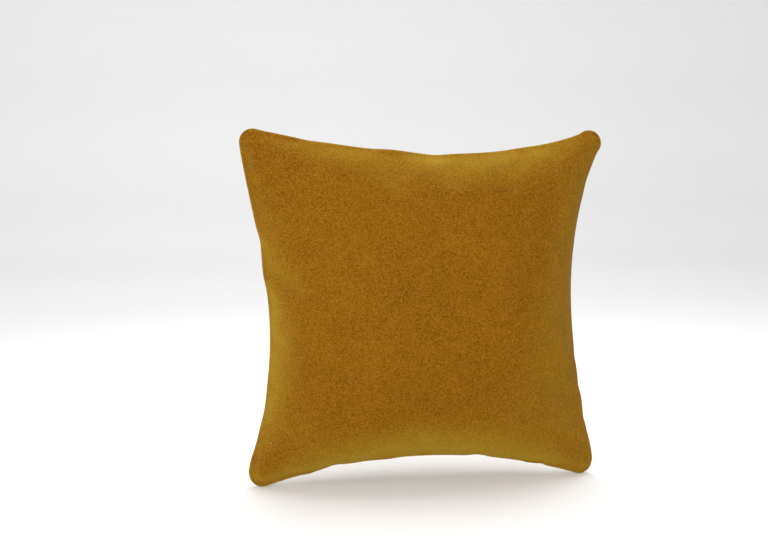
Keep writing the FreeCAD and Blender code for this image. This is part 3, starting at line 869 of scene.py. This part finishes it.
insert_seam, insert_out = insert_shell("insert_front", front_grid, -1, "insert_shell_front")
insert_shell("insert_back", back_grid, 1, "insert_shell_back")


def fibre_filling():
    """The filling: both crowns in one closed lump, tufted all over."""
    halves = []
    for cover, way in ((front_grid, -1), (back_grid, 1)):
        grid = drawn_in(cover[::2, ::2], INSERT_SHARE - 0.045, SNUG - 2.0 * MM / CROWN)
        tufts = [[noise.noise(Vector(p) / (17 * MM)) for p in row] for row in grid]
        lumps = (np.abs(np.array(tufts)) - 0.6) * 2.2 * MM
        moved = grid + surface_normals(grid, way) * np.minimum(lumps, 0)[..., None]
        moved[..., 1] = np.minimum(moved[..., 1] * way, grid[..., 1] * way) * way
        halves.append(moved)
    n = len(halves[0])
    number = np.arange(n * n).reshape(n, n)
    behind = number.copy()
    behind[1:-1, 1:-1] = n * n + np.arange((n - 2) ** 2).reshape(n - 2, n - 2)
    points = np.vstack([halves[0].reshape(-1, 3), halves[1][1:-1, 1:-1].reshape(-1, 3)])
    faces = np.vstack([grid_faces(number, 1), grid_faces(behind, -1)])
    piece = piece_of("fibre_filling", points, faces, fibre)
    placed(piece, "cushion", "insert_filling")


fibre_filling()


def insert_line(distance, reach=None):
    """A line that far inside the insert's seam: all round, or its lower middle only."""
    line = insert_seam - insert_out * distance
    if reach is None:
        return line
    lower = line[: len(line) // 4 + 1]
    return lower[np.abs(lower[:, 0]) < reach]


ring = insert_line(SEAM_INSET)
beside_label = beside_a_label(ring, -1)
start = int(np.argmax(beside_label)) + int(beside_label.sum())
open_ring = np.roll(ring, -start, axis=0)[: len(ring) - int(beside_label.sum())]
sewing = stitches(open_ring, 2.7 * MM, 0.3 * MM, 0.22 * MM)
insert_stitches = piece_of("insert_seam_stitches", *sewing, white_thread)
placed(insert_stitches, "cushion", "insert_seam_thread")

whip = spiral(insert_line(0.2 * MM, 76 * MM), 0.75 * MM, 0.85 * MM, 2.6 * MM, 10)
closing = piece_of("insert_closing_stitches", *tube(whip, 0.2 * MM), white_thread)
placed(closing, "cushion", "insert_closing_stitch")

# ---- labels -----------------------------------------------------------------------------------


def folded_label(name, turns, node):
    """A blank ribbon folded double: both ends in a seam, its fold hanging free."""
    path = evenly(np.array(turns), 40)
    for _ in range(6):
        path[1:-1] = (path[:-2] + 2 * path[1:-1] + path[2:]) / 4
    step = np.gradient(path, axis=0)
    side = np.stack([-step[:, 1], step[:, 0]], axis=1) / np.linalg.norm(step, axis=1)[:, None]
    out_way, back_way = path + side * 0.16 * MM, path - side * 0.16 * MM
    tip = path[-1] + step[-1] / np.linalg.norm(step[-1]) * 0.16 * MM
    line = np.vstack([out_way, tip[None], back_way[::-1]])
    heights = np.linspace(-LABEL_HALF, LABEL_HALF, 13)
    free = np.clip(np.linspace(-0.6, 1.0, len(path)), 0, 1) ** 2
    sway = np.concatenate([free, free[-1:], free[::-1]])
    points = []
    for h in heights:
        wave = math.sin(h / (4.2 * MM)) * 0.45 * MM
        level = np.full(len(line), MIDDLE + h)
        points.append(np.stack([line[:, 0] + sway * wave, line[:, 1], level], axis=1))
    number = np.arange(len(heights) * len(line)).reshape(len(heights), len(line))
    piece = piece_of(name, np.array(points), grid_faces(number, 1), satin)
    alone(piece)
    wall = piece.modifiers.new("ribbon", "SOLIDIFY")
    wall.thickness, wall.offset = 0.26 * MM, 0.0
    bpy.ops.object.modifier_apply(modifier=wall.name)
    placed(piece, "cushion", node)


care_low, care_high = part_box("care_label")
fold = (care_low.x + 0.4 * MM, care_low.y + 0.2 * MM)
care_turns = [(care_high.x, 0.0), (care_low.x + 6.4 * MM, 0.0), fold]
folded_label("care_label_blank", care_turns, "care_label")
edge = insert_seam[beside_label][:, 0].min()
insert_turns = [(edge + 5.5 * MM, 0.0), (edge - 2.2 * MM, 0.0), (edge + 4.4 * MM, -11.0 * MM)]
folded_label("insert_label_blank", insert_turns, "insert_label")

# ---- the zip ----------------------------------------------------------------------------------


def on_arc(run, across, out=0.0):
    """Points on the zip's arc: how far round, how far across, and how far outside its line."""
    run, across, out = np.broadcast_arrays(*(np.asarray(v, float) for v in (run, across, out)))
    turn, radius = run / ZIP, ZIP + out
    return np.stack([radius * np.sin(turn), across, ARC + radius * np.cos(turn)], axis=-1)


def bent_strip(name, section, reach, steps, finish):
    """A strip of one section along the zip's arc, closed at both ends."""
    section = np.array(section) * MM
    run = np.linspace(-reach, reach, steps + 1)
    points = on_arc(run[:, None], section[None, :, 0], section[None, :, 1])
    number = np.arange(points.shape[0] * points.shape[1]).reshape(points.shape[:2])
    way = -1 if area_inside(section) > 0 else 1
    faces = [list(f) for f in ladder(list(number))[:, ::way]]
    faces += [list(number[0])[::-way], list(number[-1])[::way]]
    return piece_of(name, points, faces, finish)


TAPE_HALF = 156 * MM  # half the tape's length
COIL_LENGTH = 293.4 * MM
COIL_TURNS = 210
# The tape's section, millimetres: how far across from the zip's middle, and how far outwards.
TAPE_SECTION = [
    (2.8, -0.25), (6.0, -0.22), (9.1, -0.25), (9.5, -0.34), (9.9, -0.22), (10.0, 0.0),
    (9.9, 0.22), (9.5, 0.34), (9.1, 0.25), (6.0, 0.22), (2.8, 0.25),
]
for side, way in (("front", -1), ("back", 1)):
    section = [(y * way, r) for y, r in TAPE_SECTION]
    strip = bent_strip(f"zip_tape_woven_{side}", section, TAPE_HALF, 104, webbing)
    placed(strip, "cushion", f"zip_tape_{side}")
    beat = np.arange(COIL_TURNS * 9 + 1) / 9
    turn = beat * 2 * math.pi
    across = way * (1.8 - 0.72 * np.cos(turn)) * MM
    coil = on_arc((beat / COIL_TURNS - 0.5) * COIL_LENGTH, across, np.sin(turn) * 0.62 * MM)
    piece = piece_of(f"zip_coil_wound_{side}", *tube(coil, 0.27 * MM), nylon)
    placed(piece, "cushion", f"zip_coil_{side}")

rows = []
for way in (-1, 1):
    line = on_arc(np.linspace(-155.5 * MM, 155.5 * MM, 200), way * 7.75 * MM, 0.36 * MM)
    rows.append(stitches(line, 2.5 * MM, 0.4 * MM, 0.22 * MM, 0.05 * MM))
sewn_rows = piece_of("zip_stitch_rows", *gathered_up(rows), gold_thread)
placed(sewn_rows, "cushion", "zip_stitching")

TACK_PASSES = 15
for end, way in (("closed", 1), ("open", -1)):
    passes = np.arange(TACK_PASSES)
    across = np.where(passes % 2, 4.4 * MM, -4.4 * MM)
    bar = on_arc(way * (155.2 * MM + (passes - 7) * 0.1 * MM), across, 0.45 * MM)
    bar = evenly(bar, TACK_PASSES * 8)
    piece = piece_of(f"zip_tack_sewn_{end}", *tube(bar, 0.2 * MM), gold_thread)
    placed(piece, "cushion", f"zip_tack_{end}_end")


def crimped(name, run, across, width, length, height):
    """A small metal stop with rounded edges and a crimp mark pressed into both faces."""
    bpy.ops.object.select_all(action="DESELECT")
    bpy.ops.mesh.primitive_cube_add(size=1, location=(0, 0, 0))
    piece = bpy.context.object
    piece.name = piece.data.name = name
    piece.scale = (length, width, height)
    bpy.ops.object.transform_apply(location=False, rotation=False, scale=True)
    bpy.ops.object.mode_set(mode="EDIT")
    bpy.ops.mesh.select_all(action="DESELECT")
    bpy.ops.object.mode_set(mode="OBJECT")
    for polygon in piece.data.polygons:
        polygon.select = abs(polygon.normal.z) > 0.9
    bpy.ops.object.mode_set(mode="EDIT")
    bpy.ops.mesh.inset(thickness=min(length, width) * 0.28, depth=0)
    bpy.ops.mesh.inset(thickness=0.12 * MM, depth=-0.15 * MM, use_individual=True)
    bpy.ops.object.mode_set(mode="OBJECT")
    rounding = piece.modifiers.new("rounding", "BEVEL")
    rounding.width, rounding.segments, rounding.limit_method = 0.25 * MM, 3, "ANGLE"
    bpy.ops.object.modifier_apply(modifier=rounding.name)
    bpy.ops.object.shade_smooth_by_angle(angle=math.radians(40))
    place = Matrix.Translation(Vector(on_arc(run, across))) @ Matrix.Rotation(run / ZIP, 4, "Y")
    piece.data.transform(place)
    piece.data.materials.append(brass)
    return piece


STOP_PLACE = 148.5 * MM  # each stop from the zip's middle
STOP_SIZE = (2.9 * MM, 1.8 * MM)  # along the zip, and through it
bottom = crimped("zip_stop_bottom", -STOP_PLACE, 0.0, 5.6 * MM, *STOP_SIZE)
placed(bottom, "cushion", "zip_bottom_stop")
for side, way in (("front", -1), ("back", 1)):
    stop = crimped(f"zip_stop_top_{side}", STOP_PLACE, way * 1.8 * MM, 2.0 * MM, *STOP_SIZE)
    placed(stop, "cushion", "zip_top_stops")


def eased_metal(name, node, body, width):
    """A metal part from its CAD shape, with its sharp edges rounded."""
    mesh = frame["nodes"][node].data.copy()
    mesh.name = name
    piece = bpy.data.objects.new(name, mesh)
    bpy.context.scene.collection.objects.link(piece)
    alone(piece)
    bpy.ops.object.mode_set(mode="EDIT")
    bpy.ops.mesh.select_all(action="SELECT")
    bpy.ops.mesh.remove_doubles(threshold=0.001 * MM)
    bpy.ops.mesh.dissolve_limited(angle_limit=math.radians(4))
    bpy.ops.object.mode_set(mode="OBJECT")
    rounding = piece.modifiers.new("rounding", "BEVEL")
    rounding.width, rounding.segments, rounding.limit_method = width, 3, "ANGLE"
    rounding.angle_limit = math.radians(40)
    bpy.ops.object.modifier_apply(modifier=rounding.name)
    bpy.ops.object.shade_smooth_by_angle(angle=math.radians(35))
    piece.data.materials.clear()
    piece.data.materials.append(brass)
    placed(piece, body, node)


eased_metal("slider_body", "zip_slider", "slider", 0.12 * MM)
eased_metal("pull_tab", "zip_pull_tab", "pull", 0.16 * MM)

# ---- the room ---------------------------------------------------------------------------------


def lit_from(name, place, size, power):
    """A square soft light of that side and power, turned towards the pillow."""
    lamp = bpy.data.lights.new(name, "AREA")
    lamp.size, lamp.energy = size, power
    light = bpy.data.objects.new(name, lamp)
    bpy.context.scene.collection.objects.link(light)
    light.location = place
    aim = Vector((0, 0, MIDDLE)) - Vector(place)
    light.rotation_euler = aim.to_track_quat("-Z", "Y").to_euler()


def studio():
    """An even white room with three soft lights, and a sweep of paper to stand on."""
    world = bpy.data.worlds.new("studio")
    bpy.context.scene.world = world
    world.use_nodes = True
    sky = world.node_tree.nodes["Background"]
    sky.inputs["Color"].default_value = colour(1.0, 1.0, 1.0)
    sky.inputs["Strength"].default_value = 0.68
    lit_from("key", (-0.9, -1.1, 1.5), 1.3, 6)
    lit_from("fill", (-0.5, -1.8, 0.2), 1.4, 29)
    lit_from("top", (0.1, 0.35, 1.8), 1.2, 20)
    sweep = [(-3.0, 0.0), (1.6, 0.0), (2.2, 0.08), (2.6, 0.32), (2.8, 0.8), (2.85, 3.0)]
    line = evenly(np.array(sweep), 60)
    points = [(x, y, z) for y, z in line for x in (-4.0, 4.0)]
    faces = [(2 * k, 2 * k + 1, 2 * k + 3, 2 * k + 2) for k in range(len(line) - 1)]
    f = Finish("pale_paper", Roughness=0.9)
    mottle = f.speckle(f.places(), 0.25, 3.0)
    f.coloured(f.between(mottle, colour(0.93, 0.93, 0.93), colour(0.95, 0.95, 0.95)))
    piece_of("paper_sweep", points, faces, f.material)


def camera():
    """Looks at the front from a little to its left and a little above."""
    azimuth, elevation, distance = math.radians(-7.12), math.radians(8.9), 1.119
    away = Vector((
        math.sin(azimuth) * math.cos(elevation),
        -math.cos(azimuth) * math.cos(elevation),
        math.sin(elevation),
    ))
    data = bpy.data.cameras.new("camera")
    data.sensor_width, data.lens = 36, 42.2
    data.shift_x, data.shift_y = -0.0525, 0.051
    view = bpy.data.objects.new("camera", data)
    bpy.context.scene.collection.objects.link(view)
    view.location = Vector((0, 0, MIDDLE)) + away * distance
    view.rotation_euler = (-away).to_track_quat("-Z", "Y").to_euler()
    bpy.context.scene.camera = view


studio()
camera()
bpy.context.scene.view_settings.view_transform = "Standard"

bpy.context.view_layer.update()
